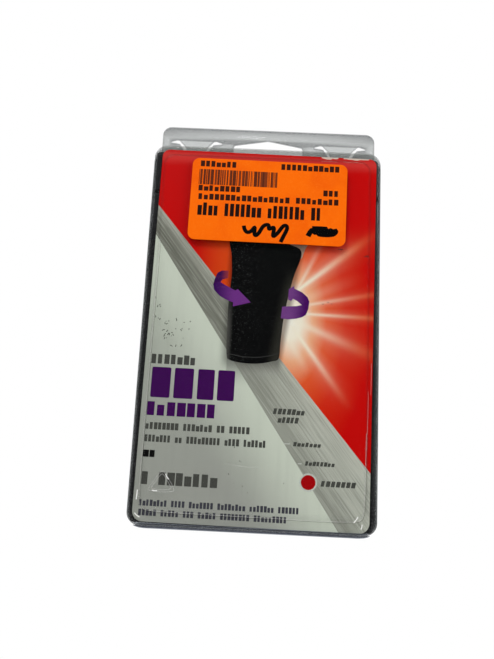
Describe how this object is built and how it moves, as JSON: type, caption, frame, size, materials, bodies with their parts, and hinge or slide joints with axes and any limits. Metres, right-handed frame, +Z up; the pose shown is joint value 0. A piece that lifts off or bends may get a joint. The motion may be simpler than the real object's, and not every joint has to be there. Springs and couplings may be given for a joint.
{
  "type": "packed elastic knee support",
  "caption": "Black knitted elastic knee support, folded behind a printed card in a clear hinged hang pack with push-through lock tongues and a price label.",
  "frame": {"origin": "top of the hang hole, where a peg carries the pack, on the plane where the two halves meet", "axes": "+Z up as the pack hangs, the printed face looks along -Y, X across its width"},
  "size_m": [0.0888, 0.0214, 0.1545],
  "materials": {
    "clear_sheet": "clear thermoformed sheet, glossy, lightly scuffed",
    "printed_card": "coated board, printed in red, silver and grey on the front, bare grey board behind",
    "orange_label": "matt thermal label paper, fluorescent orange",
    "black_knit": "ribbed elastic knit",
    "black_thread": "zigzag stretch stitching",
    "woven_tag": "satin woven tag"
  },
  "bodies": {
    "back_half": {"back_shell": "clear_sheet", "living_hinge": "clear_sheet", "sleeve_tube": "black_knit", "thigh_cuff": "black_knit", "calf_cuff": "black_knit", "thigh_cuff_thread": "black_thread", "calf_cuff_thread": "black_thread", "care_label": "woven_tag"},
    "front_half": {"front_shell": "clear_sheet", "insert_card": "printed_card", "price_label": "orange_label"},
    "front_tongue_left": {"front_lock_tongue_left": "clear_sheet"},
    "front_tongue_right": {"front_lock_tongue_right": "clear_sheet"},
    "rear_tongue_left": {"rear_lock_tongue_left": "clear_sheet"},
    "rear_tongue_right": {"rear_lock_tongue_right": "clear_sheet"}
  },
  "joints": [
    {"name": "living_hinge", "type": "hinge", "parent": "back_half", "child": "front_half", "pos_m": [0, 0, -0.1501], "axis": [1, 0, 0], "range_deg": [0, 180]},
    {"name": "front_tongue_left", "type": "hinge", "parent": "front_half", "child": "front_tongue_left", "pos_m": [-0.0283, -0.00035, -0.001], "axis": [1, 0, 0], "range_deg": [0, 35], "stiffness_Nm_per_rad": 0.00002},
    {"name": "front_tongue_right", "type": "hinge", "parent": "front_half", "child": "front_tongue_right", "pos_m": [0.0283, -0.00035, -0.001], "axis": [1, 0, 0], "range_deg": [0, 35], "stiffness_Nm_per_rad": 0.00002},
    {"name": "rear_tongue_left", "type": "hinge", "parent": "back_half", "child": "rear_tongue_left", "pos_m": [-0.0283, 0.00035, -0.001], "axis": [1, 0, 0], "range_deg": [0, 35], "stiffness_Nm_per_rad": 0.00002},
    {"name": "rear_tongue_right", "type": "hinge", "parent": "back_half", "child": "rear_tongue_right", "pos_m": [0.0283, 0.00035, -0.001], "axis": [1, 0, 0], "range_deg": [0, 35], "stiffness_Nm_per_rad": 0.00002}
  ],
  "couplings": [
    {"joint": "rear_tongue_left", "follows": "front_tongue_left", "ratio": 1},
    {"joint": "rear_tongue_right", "follows": "front_tongue_right", "ratio": 1}
  ]
}
